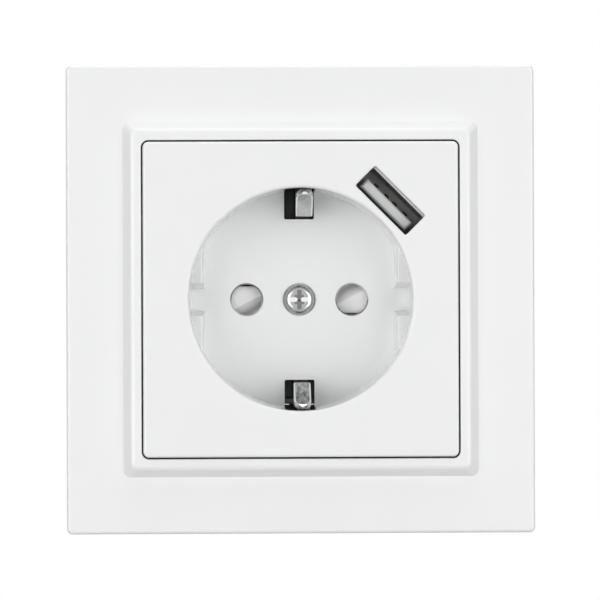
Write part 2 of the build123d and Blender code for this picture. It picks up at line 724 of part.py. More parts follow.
def line_contact():
    """The contact on the right: two leaves that grip the pin, a tail to its lug and a tab to the board."""
    x = PIN_PITCH / 2
    leaf = [
        (LEAF_MOUTH, PLATFORM - LEAF_FRONT),
        (LEAF_GRIP, PLATFORM - LEAF_GRIP_DROP),
        (LEAF_HALF, PLATFORM - LEAF_SIDE_DROP),
        (LEAF_HALF, LEAF_BACK),
    ]
    points = leaf + [(-y, z) for y, z in reversed(leaf)]
    body = strip(points, LEAF_THICK, LEAF_BEND, around(x, LEAF_WIDE))
    tail = (LEAF_BACK, LEAF_BACK + LUG_THICK)
    body += block(around(TERMINAL_X, LUG_WIDE), (LUG_Y - LUG_THICK / 2, LAP - LEAF_HALF), tail)
    body += lug(TERMINAL_X, PLATFORM - LUG_DROP)
    body += block(around(x, TAB_WIDE), around(0, TAB_HIGH), (BOARD_REAR - TAB_END, LEAF_BACK))
    return body


def terminal_places():
    return [-TERMINAL_X, 0.0, TERMINAL_X]


def terminal_screws():
    under = CLAMP_Y - CLAMP_THICK
    end = under - TERMINAL_HEAD_RISE
    recess = Rot(90, 0, 0) * cross_recess(TERMINAL_CROSS_REACH, TERMINAL_CROSS_WIDE, (0, TERMINAL_CROSS_DEEP))
    screws = []
    for x in terminal_places():
        head = rod(TERMINAL_HEAD_R, (end, under), x, TERMINAL_Z)
        head -= Pos(x, end + TERMINAL_CROSS_DEEP, TERMINAL_Z) * recess
        screws.append(head + rod(SCREW_R, (under, LUG_Y + TERMINAL_SCREW_PAST), x, TERMINAL_Z))
    return Compound(children=screws)


def clamp_plates():
    y = (CLAMP_Y - CLAMP_THICK, CLAMP_Y)
    plates = []
    for x in terminal_places():
        plate = block(around(x, CLAMP_SIDE), y, around(TERMINAL_Z, CLAMP_SIDE))
        plates.append(plate - rod(SCREW_R + SCREW_SLIP, y, x, TERMINAL_Z))
    return Compound(children=plates)


def base_outline():
    """The outline that the base and its rear cover share, inside the round wall box."""
    outline = square(BASE_SIDE, BASE_CORNER) + port_room(PORT_SIDE_WALL)
    return outline & Circle(BASE_R)


def claw_rooms():
    """The space in both sides of the base where the claws, their nuts and screws lie."""
    half = CLAW_HALF + CLAW_ROOM
    inner = CLAW_PIVOT_X - CLAW_KNUCKLE_R - CLAW_ROOM
    front = CLAW_PIVOT_Z + CLAW_KNUCKLE_R + CLAW_ROOM
    room = block((inner, BASE_R), (-half, half), (COVER_REAR, front))
    room += block((CLAW_SCREW_X - SCREW_R - CLAW_SCREW_ROOM, BASE_R), (-half, half), (COVER_REAR, RING_THICK))
    return room + mirrored(room)


def cover_screw_places():
    return [(x, y) for x in (-COVER_SCREW_X, COVER_SCREW_X) for y in (-COVER_SCREW_Y, COVER_SCREW_Y)]


def board_posts():
    """Where the charger board is held between the base and the cover."""
    return [(-BOARD_POST_X, BOARD_POST_LOW), (BOARD_POST_X, BOARD_POST_LOW), (0.0, BOARD_POST_HIGH)]


def yoke_room():
    """The channel of the earth yoke across the platform, with the wells of its arms and its screw."""
    z = (PLATFORM - YOKE_THICK, PLATFORM)
    room = block(around(0, 2 * ARM_ROOM_HALF), (-ARM_ROOM, ARM_ROOM), (z[0], 0))
    room += block(around(0, YOKE_WIDE + 2 * HOLE_ROOM), (ARM_CLEAR - CLIP_ARM, CLIP_ARM - ARM_CLEAR), z)
    room += disc(SCREW_R + YOKE_BOSS_WALL + HOLE_ROOM, (PLATFORM - SCREW_BITE - ARM_CLEAR, PLATFORM))
    earth = around(0, LUG_WIDE + 2 * HOLE_ROOM)
    return room + block(earth, around(LUG_Y, LUG_THICK + 4 * HOLE_ROOM), (TERMINAL_FRONT, PLATFORM))


def port_pocket():
    """The pocket of the port's shell in the base, and the slot of its board."""
    half = SHELL_WIDE / 2 + SHELL_SHEET + USB_SLIP
    shell = block((-half, half), (SHELL_NEAR - PORT_SIDE_WALL, BOARD_NEAR), (SHELL_BACK - RING_CLEAR, 0))
    half = USB_BOARD_WIDE / 2 + USB_SLIP
    board = block((-half, half), (BOARD_NEAR - LAP, BOARD_FAR + USB_SLIP), (BASE_REAR, 0))
    return in_port(shell + board)


def contact_rooms():
    """The pockets of the line contacts, the terminals and the tails that join them, on both sides."""
    x = PIN_PITCH / 2
    tail = (BASE_REAR, LEAF_BACK + LUG_THICK + HOLE_ROOM)
    room = block(around(x, 2 * POCKET_X), (-POCKET_Y, POCKET_Y), (POCKET_END, PLATFORM))
    tab = (around(x, TAB_WIDE + 4 * HOLE_ROOM), around(0, TAB_HIGH + 4 * HOLE_ROOM))
    room += block(*tab, (BASE_REAR, POCKET_END))
    room += block(around(TERMINAL_X, LUG_WIDE + 2 * HOLE_ROOM), (TERMINAL_TOP - LAP, LAP - LEAF_HALF), tail)
    for place in terminal_places():
        z = (BASE_REAR, TERMINAL_FRONT)
        room += block(around(place, 2 * TERMINAL_HALF), (-BASE_R, TERMINAL_TOP), z)
    return room + mirrored(room)


def shutter_stops():
    """Pegs on the platform that end the shutter's turn, closed and open, for both wings."""
    away = STOP_R + STOP_SLIP
    at = WING_REACH - STOP_INSET
    peg = (PLATFORM - LAP, SHUTTER_FRONT - STOP_SINK)
    stops = disc(STOP_R, peg, at, WING_HALF + away)
    stops += Rot(0, 0, -SHUTTER_TURN) * disc(STOP_R, peg, at, -WING_SHORT - away)
    return stops + Rot(0, 0, 180) * stops


def contact_base():
    body = prism(base_outline(), (BASE_REAR, 0))
    body -= disc(WELL_ROOM_R, (PLATFORM, 0))
    body -= yoke_room()
    body -= port_pocket()
    body -= contact_rooms()
    power = block((-POWER_HALF, POWER_HALF), (POWER_LOW, POWER_HIGH), (BASE_REAR, POWER_FRONT))
    body -= power & disc(BASE_R - BASE_WALL, (BASE_REAR, 0))
    body -= claw_rooms()
    pin = rod(CLAW_PIN_R + TAPPED_SLIP, (-CLAW_PIN_HALF, CLAW_PIN_HALF), CLAW_PIVOT_X, CLAW_PIVOT_Z)
    body -= pin
    body -= mirrored(pin)
    for x, y in ring_screw_places():
        body -= disc(SMALL_SCREW_R + TAPPED_SLIP, (RING_THICK - SMALL_SCREW_LONG, 0), x, y)
    for x, y in cover_screw_places():
        body -= disc(SMALL_SCREW_R + TAPPED_SLIP, (BASE_REAR, BASE_REAR + SMALL_SCREW_LONG), x, y)
    for x, y in board_posts():
        body += disc(BOARD_POST_R, (BOARD_FRONT, BASE_REAR), x, y)
    return body + shutter_stops()


def rear_cover():
    body = prism(base_outline(), (COVER_REAR, BASE_REAR))
    inside = square(BASE_SIDE - 2 * COVER_WALL, BASE_CORNER) & Circle(BASE_R - COVER_WALL)
    inside += port_room(BOARD_RIM_ROOM) & Circle(BASE_R - PORT_WALL / 2)
    inside &= Pos(0, COVER_SPLIT + BASE_R) * Rectangle(2 * BASE_R, 2 * BASE_R)
    room = prism(inside, (COVER_REAR + COVER_WALL, BASE_REAR))
    for x, y in cover_screw_places():
        room -= disc(COVER_POST_R, (COVER_REAR, BASE_REAR), x, y)
    for x, y in board_posts():
        room -= disc(BOARD_POST_R, (COVER_REAR, BOARD_REAR), x, y)
    body -= room
    for x in terminal_places():
        slot = Pos(x, (CLAMP_Y + LUG_Y) / 2) * SlotOverall(WIRE_SLOT_LONG, WIRE_SLOT_WIDE)
        body -= prism(slot, (COVER_REAR, BASE_REAR))
    seat = COVER_REAR + SMALL_HEAD_RISE + HOLE_ROOM
    for x, y in cover_screw_places():
        body -= disc(SMALL_SCREW_R + HOLE_ROOM, (COVER_REAR, BASE_REAR), x, y)
        body -= disc(SMALL_HEAD_R + HEAD_ROOM, (COVER_REAR, seat), x, y)
    return body


def rear_cover_screws():
    seat = COVER_REAR + SMALL_HEAD_RISE + HOLE_ROOM
    screw = Rot(180, 0, 0) * small_screw(BASE_REAR + SMALL_SCREW_LONG - seat - HEAD_ROOM)
    return Compound(children=[Pos(x, y, seat) * screw for x, y in cover_screw_places()])


def claw():
    """The claw on the right: a knuckle on its pin, a fork before the nut and a toothed arm."""
    half = CLAW_THICK / 2
    y = (-CLAW_HALF, CLAW_HALF)
    body = rod(CLAW_KNUCKLE_R, y, CLAW_PIVOT_X, CLAW_PIVOT_Z)
    reach = CLAW_PIVOT_X + CLAW_FORK_LONG
    fork = block((CLAW_PIVOT_X, reach), y, around(CLAW_PIVOT_Z, CLAW_THICK))
    slot = (CLAW_SCREW_X - SCREW_R - CLAW_FORK_ROOM, reach)
    body += fork - block(slot, (-CLAW_FORK_HALF, CLAW_FORK_HALF), around(CLAW_PIVOT_Z, CLAW_THICK))
    elbow = CLAW_PIVOT_Z - CLAW_ELBOW
    tip = (CLAW_PIVOT_X + CLAW_REACH, elbow - CLAW_FALL)
    path = FilletPolyline((CLAW_PIVOT_X, CLAW_PIVOT_Z), (CLAW_PIVOT_X, elbow), tip, radius=CLAW_BEND)
    outline = make_face(offset(path, half, kind=Kind.INTERSECTION, side=Side.BOTH))
    body += extrude(Plane.XZ.offset(-CLAW_HALF) * outline, 2 * CLAW_HALF)
    lean = degrees(atan(CLAW_FALL / CLAW_REACH))
    notch = Pos(half, 0, 0) * Rot(0, 0, 45) * Box(CLAW_TOOTH, CLAW_TOOTH, 4 * CLAW_THICK)
    pitch = 2 * CLAW_HALF / CLAW_TEETH
    for n in range(CLAW_TEETH + 1):
        body -= Pos(tip[0], n * pitch - CLAW_HALF, tip[1]) * Rot(0, lean, 0) * notch
    return body - rod(CLAW_PIN_R + CLAW_PIN_SLIP, y, CLAW_PIVOT_X, CLAW_PIVOT_Z)


def claw_screw():
    """The screw on the right that pulls the claw's nut forward."""
    top = RING_THICK + CLAW_HEAD_RISE
    head = disc(HEAD_R, (RING_THICK, top))
    head = chamfer(head.edges().group_by(Axis.Z)[-1], CLAW_HEAD_EDGE)
    head -= cross_recess(CLAW_CROSS_REACH, CLAW_CROSS_WIDE, (top - CLAW_CROSS_DEEP, top))
    return Pos(CLAW_SCREW_X, 0, 0) * (head + disc(SCREW_R, (CLAW_SCREW_END, RING_THICK)))


def claw_nut():
    front = CLAW_PIVOT_Z - CLAW_THICK / 2 - CLAW_NUT_SLIP
    z = (front - CLAW_NUT_THICK, front)
    nut = block(around(0, CLAW_NUT_LONG), (-CLAW_HALF, CLAW_HALF), z)
    nut -= disc(SCREW_R + SCREW_SLIP, z)
    return Pos(CLAW_SCREW_X, 0, 0) * nut


def claw_pins():
    pin = rod(CLAW_PIN_R, (-CLAW_PIN_HALF, CLAW_PIN_HALF), CLAW_PIVOT_X, CLAW_PIVOT_Z)
    return Compound(children=[pin, mirrored(pin)])


def charger_board():
    high = BOARD_HIGH - BOARD_LOW
    outline = Pos(0, BOARD_LOW + high / 2) * Rectangle(2 * BOARD_HALF, high)
    outline += in_port(Pos(PORT_SHIFT, 0) * Rectangle(USB_BOARD_WIDE + 2 * PORT_SHIFT, 2 * BOARD_NEAR))
    outline -= in_port(Pos(0, BOARD_NEAR + BASE_R) * Rectangle(2 * BASE_R, 2 * BASE_R))
    outline &= Circle(BASE_R - COVER_WALL - BOARD_RIM_ROOM)
    body = prism(outline, (BOARD_REAR, BOARD_FRONT))
    for x in (-PIN_PITCH / 2, PIN_PITCH / 2):
        slot = (around(x, TAB_WIDE + HOLE_ROOM), around(0, TAB_HIGH + HOLE_ROOM))
        body -= block(*slot, (BOARD_REAR, BOARD_FRONT))
    return body


def transformer_core():
    """Two E-shaped halves as one piece: a middle leg, two side legs and the yokes that join them."""
    half = CORE_WIDE / 2
    y = around(0, CORE_DEEP)
    body = block((-half, half), y, (BOARD_FRONT, BOARD_FRONT + CORE_TALL))
    z = (BOARD_FRONT + CORE_YOKE, BOARD_FRONT + CORE_TALL - CORE_YOKE)
    gap = block((CORE_LEG, half - CORE_SIDE), y, z)
    body -= gap
    body -= mirrored(gap)
    return Pos(CORE_X, POWER_MIDDLE, 0) * body


def transformer_winding():
    half = CORE_WIDE / 2 - CORE_SIDE - SEAT_SLIP
    inset = CORE_YOKE + SEAT_SLIP
    z = (BOARD_FRONT + inset, BOARD_FRONT + CORE_TALL - inset)
    body = block((-half, half), around(0, WINDING_DEEP), z)
    body -= block(around(0, 2 * (CORE_LEG + SEAT_SLIP)), around(0, CORE_DEEP + 2 * SEAT_SLIP), z)
    return Pos(CORE_X, POWER_MIDDLE, 0) * body


def capacitor(r, tall, x, y):
    body = disc(r, (BOARD_FRONT, BOARD_FRONT + tall), x, y)
    return chamfer(body.edges().group_by(Axis.Z)[-1], CAP_EDGE)


def input_capacitor():
    return capacitor(INPUT_CAP_R, INPUT_CAP_TALL, INPUT_CAP_X, POWER_MIDDLE)


def output_place():
    """Where the output capacitor stands, beside the core and low in the power room."""
    return CORE_X + CORE_WIDE / 2 + 2 * CAP_SPACE + OUTPUT_CAP_R, POWER_LOW + 2 * CAP_SPACE + OUTPUT_CAP_R


def output_capacitor():
    return capacitor(OUTPUT_CAP_R, OUTPUT_CAP_TALL, *output_place())


def controller_chip():
    x, y = output_place()
    low = y + OUTPUT_CAP_R + CHIP_SPACE
    return block(around(x, CHIP_WIDE), (low, low + CHIP_HIGH), (BOARD_FRONT, BOARD_FRONT + CHIP_TALL))


def bridge_rectifier():
    z = (BOARD_FRONT, BOARD_FRONT + BRIDGE_TALL)
    return block(around(BRIDGE_X, BRIDGE_WIDE), around(BRIDGE_Y, BRIDGE_HIGH), z)


nodes = {
    "cover_frame": cover_frame(),
    "centre_plate": centre_plate(),
    "centre_screw": centre_screw(),
    "shutter": shutter(),
    "shutter_spring": shutter_spring(),
    "usb_shell": usb_shell(),
    "usb_tongue": usb_tongue(),
    "usb_contacts": usb_contacts(),
    "usb_board": usb_board(),
    "support_ring": support_ring(),
    "ring_screws": ring_screws(),
    "earth_yoke": earth_yoke(),
    "contact_base": contact_base(),
    "neutral_contact": line_contact(),
    "live_contact": mirrored(line_contact()),
    "terminal_screws": terminal_screws(),
    "clamp_plates": clamp_plates(),
    "rear_cover": rear_cover(),
    "rear_cover_screws": rear_cover_screws(),
    "claw_right": claw(),
    "claw_left": mirrored(claw()),
    "claw_screw_right": claw_screw(),
    "claw_screw_left": mirrored(claw_screw()),
    "claw_nut_right": claw_nut(),
    "claw_nut_left": mirrored(claw_nut()),
    "claw_pins": claw_pins(),
    "charger_board": charger_board(),
    "transformer_core": transformer_core(),
    "transformer_winding": transformer_winding(),
    "input_capacitor": input_capacitor(),
    "output_capacitor": output_capacitor(),
    "controller_chip": controller_chip(),
    "bridge_rectifier": bridge_rectifier(),
}

os.makedirs("parts", exist_ok=True)
for name, solid in nodes.items():
    export_step(Rot(90, 0, 0) * solid, f"parts/{name}.step")
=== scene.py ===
import json
import math

import bpy
from mathutils import Matrix, Vector

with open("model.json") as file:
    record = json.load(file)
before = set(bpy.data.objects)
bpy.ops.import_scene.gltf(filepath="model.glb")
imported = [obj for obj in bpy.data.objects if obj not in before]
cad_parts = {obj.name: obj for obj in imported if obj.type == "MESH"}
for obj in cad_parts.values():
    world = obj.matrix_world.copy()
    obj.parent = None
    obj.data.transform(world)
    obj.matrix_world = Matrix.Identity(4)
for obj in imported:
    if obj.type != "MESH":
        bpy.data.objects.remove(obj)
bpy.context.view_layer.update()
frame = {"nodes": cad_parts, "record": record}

nodes = frame["nodes"]
scene = bpy.context.scene
scene.view_settings.view_transform = "Standard"

# Camera: square in front of the plate, a touch to its left. Lengths are in metres unless named otherwise
PLATE_FRONT = 0.0104
AIM_X, AIM_Z = -0.00016, -0.00014
EYE_X, EYE_Z = -0.0075, -0.0015
DISTANCE = 0.450
ROLL = math.radians(-0.2)
PICTURE_WIDE = 600
PIXELS_PER_M = 5745.0
SENSOR_MM = 36.0
NEAREST_SEEN = 0.01

aim = Vector((AIM_X, -PLATE_FRONT, AIM_Z))
eye = aim + Vector((EYE_X, -DISTANCE, EYE_Z))
camera_data = bpy.data.cameras.new("camera")
camera_data.sensor_width = SENSOR_MM
camera_data.lens = PIXELS_PER_M * DISTANCE * SENSOR_MM / PICTURE_WIDE
camera_data.clip_start = NEAREST_SEEN
camera = bpy.data.objects.new("camera", camera_data)
scene.collection.objects.link(camera)
look = (aim - eye).to_track_quat("-Z", "Y").to_matrix().to_4x4()
camera.matrix_world = Matrix.Translation(eye) @ look @ Matrix.Rotation(ROLL, 4, "Z")
scene.camera = camera


# Node helpers: those that take a tree add nodes to it, and most return the socket with the result
def surface(name):
    """A new material, its node tree and its shader."""
    material = bpy.data.materials.new(name)
    material.use_nodes = True
    return material, material.node_tree, material.node_tree.nodes["Principled BSDF"]


def here(tree):
    """The place on the object."""
    return tree.nodes.new("ShaderNodeTexCoord").outputs["Object"]


def axes(tree, vector):
    """The three parts of a vector. The second part of a place is its depth behind the wall plane."""
    node = tree.nodes.new("ShaderNodeSeparateXYZ")
    tree.links.new(vector, node.inputs["Vector"])
    return node.outputs["X"], node.outputs["Y"], node.outputs["Z"]


def maths(tree, operation, first, second=0.0):
    """One step of arithmetic on a value and a number or another value."""
    node = tree.nodes.new("ShaderNodeMath")
    node.operation = operation
    tree.links.new(first, node.inputs[0])
    if isinstance(second, (int, float)):
        node.inputs[1].default_value = second
    else:
        tree.links.new(second, node.inputs[1])
    return node.outputs["Value"]


def times(tree, first, second):
    return maths(tree, "MULTIPLY", first, second)


def vectors(tree, operation, first, second=(0, 0, 0)):
    """One step of arithmetic on a vector and a fixed one."""
    node = tree.nodes.new("ShaderNodeVectorMath")
    node.operation = operation
    tree.links.new(first, node.inputs[0])
    node.inputs[1].default_value = second
    return node.outputs["Value"] if operation == "LENGTH" else node.outputs["Vector"]


def length(tree, vector, kept):
    """How long a vector is along the axes that are kept, given as a 1 or 0 for each axis."""
    return vectors(tree, "LENGTH", vectors(tree, "MULTIPLY", vector, kept))


def ramp(tree, value, start, end):
    """From 0 at the start to 1 at the end."""
    node = tree.nodes.new("ShaderNodeMapRange")
    node.interpolation_type = "SMOOTHSTEP"
    node.inputs["From Min"].default_value = start
    node.inputs["From Max"].default_value = end
    tree.links.new(value, node.inputs["Value"])
    return node.outputs["Result"]


def band(tree, value, rise, fall):
    """1 between two soft borders, and 0 outside them."""
    return times(tree, ramp(tree, value, *rise), ramp(tree, value, *fall))


NOISE_LOW, NOISE_HIGH = 0.3, 0.7


def noise(tree, size, detail=3.0, stretch=(1, 1, 1)):
    """Noise in the object's own metres, whose features are about the given size."""
    scaled = tree.nodes.new("ShaderNodeMapping")
    scaled.inputs["Scale"].default_value = [s / size for s in stretch]
    tree.links.new(here(tree), scaled.inputs["Vector"])
    texture = tree.nodes.new("ShaderNodeTexNoise")
    texture.inputs["Scale"].default_value = 1.0
    texture.inputs["Detail"].default_value = detail
    tree.links.new(scaled.outputs["Vector"], texture.inputs["Vector"])
    return texture.outputs["Fac"]


def spread(tree, value, low, high):
    """Noise, most of which lies between two levels, spread over a range."""
    node = tree.nodes.new("ShaderNodeMapRange")
    node.inputs["From Min"].default_value = NOISE_LOW
    node.inputs["From Max"].default_value = NOISE_HIGH
    node.inputs["To Min"].default_value = low
    node.inputs["To Max"].default_value = high
    tree.links.new(value, node.inputs["Value"])
    return node.outputs["Result"]


def painted(tree, colour, mask, tone):
    """A colour, or the socket of one, with a tone laid over it where the mask is."""
    node = tree.nodes.new("ShaderNodeMix")
    node.data_type = "RGBA"
    under, over = [socket for socket in node.inputs if socket.type == "RGBA"]
    tree.links.new(mask, node.inputs["Factor"])
    if isinstance(colour, tuple):
        under.default_value = (*colour, 1)
    else:
        tree.links.new(colour, under)
    over.default_value = (*tone, 1)
    return next(socket for socket in node.outputs if socket.type == "RGBA")


def clouded(tree, value, dark, light):
    """A colour that noise varies between two."""
    return painted(tree, dark, spread(tree, value, 0.0, 1.0), light)


def tinted(colour, factor):
    return tuple(c * factor for c in colour)


def grey(level):
    return (level, level, level)


def relief(tree, shader, value, strength, depth):
    """A bump of the given depth."""
    node = tree.nodes.new("ShaderNodeBump")
    node.inputs["Strength"].default_value = strength
    node.inputs["Distance"].default_value = depth
    tree.links.new(value, node.inputs["Height"])
    tree.links.new(node.outputs["Normal"], shader.inputs["Normal"])


# Marks: masks that follow places on the object, most of them for painted shade and painted highlights. A pair
# gives where a soft border starts and ends
FACE = (1, 0, 1)
SEAM_CORE = 0.0265
SEAM_PLATE, SEAM_FRAME = (0.00092, 0.00096), (0.00138, 0.00134)
SEAM_DEPTH = (-0.0097, -0.0094)
PIN_AT = 0.0095
PIN_LEAD = (0.00304, 0.00298)
PIN_FRONT, PIN_BACK = (0.0070, 0.0072), (0.0077, 0.0074)
PIN_SWEEP = (PIN_AT * 0.0012, PIN_AT * -0.0006)
PIN_ALL, PIN_SWEPT = 0.5, 0.5
PIN_PATCH, PIN_FAINT = 0.0015, 0.65
PORT_TURN = math.radians(-45)
PORT_AT = (-0.00106, 0, 0.02319)
PORT_HALF_X, PORT_HALF_Z = 0.006175, 0.00243
PORT_LAP = 1.02
PORT_DEPTH = (-0.0102, -0.0099)
MOUTH_DEPTH = (-0.0078, -0.00805)
RECESS_R = (0.0019, 0.0018)
RECESS_DEPTH = (0.0060, 0.0063)
CLIP_HALF, CLIP_ROUND = 0.0015, 0.0024
CLIP_MIDDLE, CLIP_LEAN = 0.000575, 0.000225
CLIP_RUN_Z, CLIP_RUN_Y = 0.4104, 0.9119
CLIP_ROUND_FROM = 0.01165
CLIP_RIM, CLIP_OUT = (0.78, 0.88), (1.06, 1.02)
STREAK, STREAK_STRETCH = 0.0006, (1, 0.3, 0.3)
STREAK_BOTH, LOWER_CLIP_SHADE = 0.3, 0.7
STREAK_SPLIT = (0.005, -0.005)
UNDER_DEPTH = (0.0085, 0.0105)


def shade_in_seam(tree):
    """Painted shade deep in the seam between the centre plate and its frame."""
    place = here(tree)
    outside = vectors(tree, "SUBTRACT", vectors(tree, "ABSOLUTE", place), (SEAM_CORE, 0, SEAM_CORE))
    away = length(tree, vectors(tree, "MAXIMUM", outside), FACE)
    depth = axes(tree, place)[1]
    return times(tree, band(tree, away, SEAM_PLATE, SEAM_FRAME), ramp(tree, depth, *SEAM_DEPTH))


def shade_at_pins(tree):
    """Painted shade on the lead of the pin holes, darkest above in the left hole and below in the right."""
    place = here(tree)
    x, depth, z = axes(tree, place)
    middle = vectors(tree, "SUBTRACT", vectors(tree, "ABSOLUTE", place), (PIN_AT, 0, 0))
    lead = ramp(tree, length(tree, middle, FACE), *PIN_LEAD)
    pin_shade = times(tree, band(tree, depth, PIN_FRONT, PIN_BACK), lead)
    swept = times(tree, ramp(tree, times(tree, x, z), *PIN_SWEEP), PIN_SWEPT)
    pin_shade = times(tree, pin_shade, maths(tree, "ADD", swept, PIN_ALL))
    return times(tree, pin_shade, spread(tree, noise(tree, PIN_PATCH), PIN_FAINT, 1.0))


def in_port(tree):
    """Shade on the walls of the port's opening."""
    place = here(tree)
    turned = tree.nodes.new("ShaderNodeVectorRotate")
    turned.rotation_type = "Y_AXIS"
    turned.inputs["Angle"].default_value = PORT_TURN
    tree.links.new(place, turned.inputs["Vector"])
    middle = vectors(tree, "SUBTRACT", turned.outputs["Vector"], PORT_AT)
    halves = (1 / PORT_HALF_X, 0, 1 / PORT_HALF_Z)
    x, _, z = axes(tree, vectors(tree, "MULTIPLY", vectors(tree, "ABSOLUTE", middle), halves))
    inside = maths(tree, "LESS_THAN", maths(tree, "MAXIMUM", x, z), PORT_LAP)
    return times(tree, inside, ramp(tree, axes(tree, place)[1], *PORT_DEPTH))


def lit_mouth_edge(tree):
    """Painted highlight on the front edge of the port's shell."""
    return ramp(tree, axes(tree, here(tree))[1], *MOUTH_DEPTH)


def shade_in_recess(tree):
    """Painted shade in the cross recess of the screw, below the top of its head."""
    place = here(tree)
    depth = axes(tree, place)[1]
    return times(tree, ramp(tree, length(tree, place, FACE), *RECESS_R), ramp(tree, depth, *RECESS_DEPTH))


def clip_edge_highlight(tree):
    """Painted highlight along the rolled edge: the sides and the round end of each earth clip."""
    x, depth, z = axes(tree, here(tree))
    lean = times(tree, maths(tree, "SIGN", z), CLIP_LEAN)
    across = maths(tree, "SUBTRACT", maths(tree, "SUBTRACT", x, lean), CLIP_MIDDLE)
    rise = times(tree, maths(tree, "ABSOLUTE", z), CLIP_RUN_Z)
    along = maths(tree, "SUBTRACT", rise, times(tree, depth, CLIP_RUN_Y))
    past = maths(tree, "MAXIMUM", maths(tree, "SUBTRACT", along, CLIP_ROUND_FROM))
    both = tree.nodes.new("ShaderNodeCombineXYZ")
    tree.links.new(maths(tree, "DIVIDE", across, CLIP_HALF), both.inputs["X"])
    tree.links.new(maths(tree, "DIVIDE", past, CLIP_ROUND), both.inputs["Y"])
    return band(tree, vectors(tree, "LENGTH", both.outputs["Vector"]), CLIP_RIM, CLIP_OUT)


def clip_streaks_and_shade(tree):
    """Dull streaks of wear along the earth clips, laid on more heavily on the lower one as painted shade."""
    z = axes(tree, here(tree))[2]
    lower = times(tree, ramp(tree, z, *STREAK_SPLIT), LOWER_CLIP_SHADE)
    streaks = spread(tree, noise(tree, STREAK, stretch=STREAK_STRETCH), 0.0, 1.0)
    return times(tree, streaks, maths(tree, "ADD", lower, STREAK_BOTH))


def shade_under_floor(tree):
    """Painted shade on what lies behind the floor of the well."""
    return ramp(tree, axes(tree, here(tree))[1], *UNDER_DEPTH)


# Materials
CLOUD, GLOSS_PATCH = 0.012, 0.004
FINE = 2.0
PLASTIC_IOR = 1.5
GLOSS_LOW, GLOSS_HIGH = 0.85, 1.15
GRAIN_STRENGTH = 0.25
DRAWN_LINE = 0.0001
LINE_DARK = 0.86
LINE_LOW, LINE_HIGH = 0.75, 1.3
LINE_STRENGTH = 0.3


def marked(tree, shader, colour, marks):
    """Gives the shader a colour, with each mark laid over it in turn."""
    for mask, tone in marks:
        colour = painted(tree, colour, mask(tree), tone)
    tree.links.new(colour, shader.inputs["Base Color"])


def plastic(name, colour, rough, grain, depth, stir=0.015, marks=()):
    """Moulded plastic: flow clouds in its colour, an uneven gloss and a fine grain."""
    material, tree, shader = surface(name)
    clouds = clouded(tree, noise(tree, CLOUD), tinted(colour, 1 - stir), tinted(colour, 1 + stir / 3))
    marked(tree, shader, clouds, marks)
    gloss = spread(tree, noise(tree, GLOSS_PATCH), rough * GLOSS_LOW, rough * GLOSS_HIGH)
    tree.links.new(gloss, shader.inputs["Roughness"])
    relief(tree, shader, noise(tree, grain, FINE), GRAIN_STRENGTH, depth)
    shader.inputs["IOR"].default_value = PLASTIC_IOR
    return material


def metal(name, colour, rough, stretch, depth=6e-7, marks=()):
    """Plated metal with fine drawn lines along its length."""
    material, tree, shader = surface(name)
    lines = noise(tree, DRAWN_LINE, FINE, stretch)
    marked(tree, shader, clouded(tree, lines, tinted(colour, LINE_DARK), colour), marks)
    tree.links.new(spread(tree, lines, rough * LINE_LOW, rough * LINE_HIGH), shader.inputs["Roughness"])
    relief(tree, shader, lines, LINE_STRENGTH, depth)
    shader.inputs["Metallic"].default_value = 1.0
    return material


TRACK_SCALE, TRACK_WIDE = 400.0, 0.12
TRACK_STRENGTH, TRACK_RISE = 0.4, 3e-5
MASK_PATCH, MASK_ROUGH = 0.002, (0.3, 0.42)
BOARD_GREENS = {
    "Color1": (0.012, 0.085, 0.03),
    "Color2": (0.016, 0.1, 0.036),
    "Mortar": (0.05, 0.2, 0.06),
}


def board(name):
    """Solder mask over copper tracks: a grid of slightly raised, lighter runs."""
    material, tree, shader = surface(name)
    turned = tree.nodes.new("ShaderNodeMapping")
    turned.inputs["Rotation"].default_value = (math.radians(90), 0, 0)
    tree.links.new(here(tree), turned.inputs["Vector"])
    tracks = tree.nodes.new("ShaderNodeTexBrick")
    tracks.inputs["Scale"].default_value = TRACK_SCALE
    tracks.inputs["Mortar Size"].default_value = TRACK_WIDE
    tree.links.new(turned.outputs["Vector"], tracks.inputs["Vector"])
    for socket, green in BOARD_GREENS.items():
        tracks.inputs[socket].default_value = (*green, 1)
    tree.links.new(tracks.outputs["Color"], shader.inputs["Base Color"])
    relief(tree, shader, tracks.outputs["Fac"], TRACK_STRENGTH, TRACK_RISE)
    tree.links.new(spread(tree, noise(tree, MASK_PATCH), *MASK_ROUGH), shader.inputs["Roughness"])
    return material


WHITE = (0.877, 0.884, 0.881)
WHITE_FINISH = (0.2, 0.00035, 6e-6, 0.008)
SHADE = grey(0.02)
ALONG_Y, ALONG_Z = (1, 0.08, 1), (1, 1, 0.06)

# By slot of the record: plastic gets a colour, roughness, grain size, grain depth and stir of its clouds,
# metal a colour, roughness and the stretch of its drawn lines
looks = {
    "shutter_white": plastic("shutter_white", (0.91, 0.91, 0.9), 0.38, 0.0003, 8e-6),
    "base_dark": plastic("base_dark", (0.045, 0.046, 0.05), 0.5, 0.0004, 2e-5, 0.06),
    "zinc_steel": metal("zinc_steel", (0.54, 0.543, 0.55), 0.2, ALONG_Z),
    # The nickel is made dark as painted shade inside the port's shell, with a painted highlight on its front
    # edge
    "nickel": metal("nickel", (0.23, 0.23, 0.225), 0.3, (1, 0.3, 1), marks=[(lit_mouth_edge, (0.6, 0.6, 0.59))]),
    "contact_brass": metal("contact_brass", (0.72, 0.53, 0.24), 0.28, ALONG_Y),
    "board_green": board("board_green"),
    "ferrite": plastic("ferrite", (0.03, 0.03, 0.033), 0.55, 0.0002, 2e-5, 0.2),
    "winding_tape": plastic("winding_tape", (0.72, 0.5, 0.05), 0.35, 0.0012, 2e-5, 0.12),
    "can_aluminium": metal("can_aluminium", (0.55, 0.56, 0.58), 0.35, (1, 0.1, 1)),
    "chip_black": plastic("chip_black", (0.02, 0.02, 0.021), 0.45, 0.00015, 1e-5, 0.2),
}

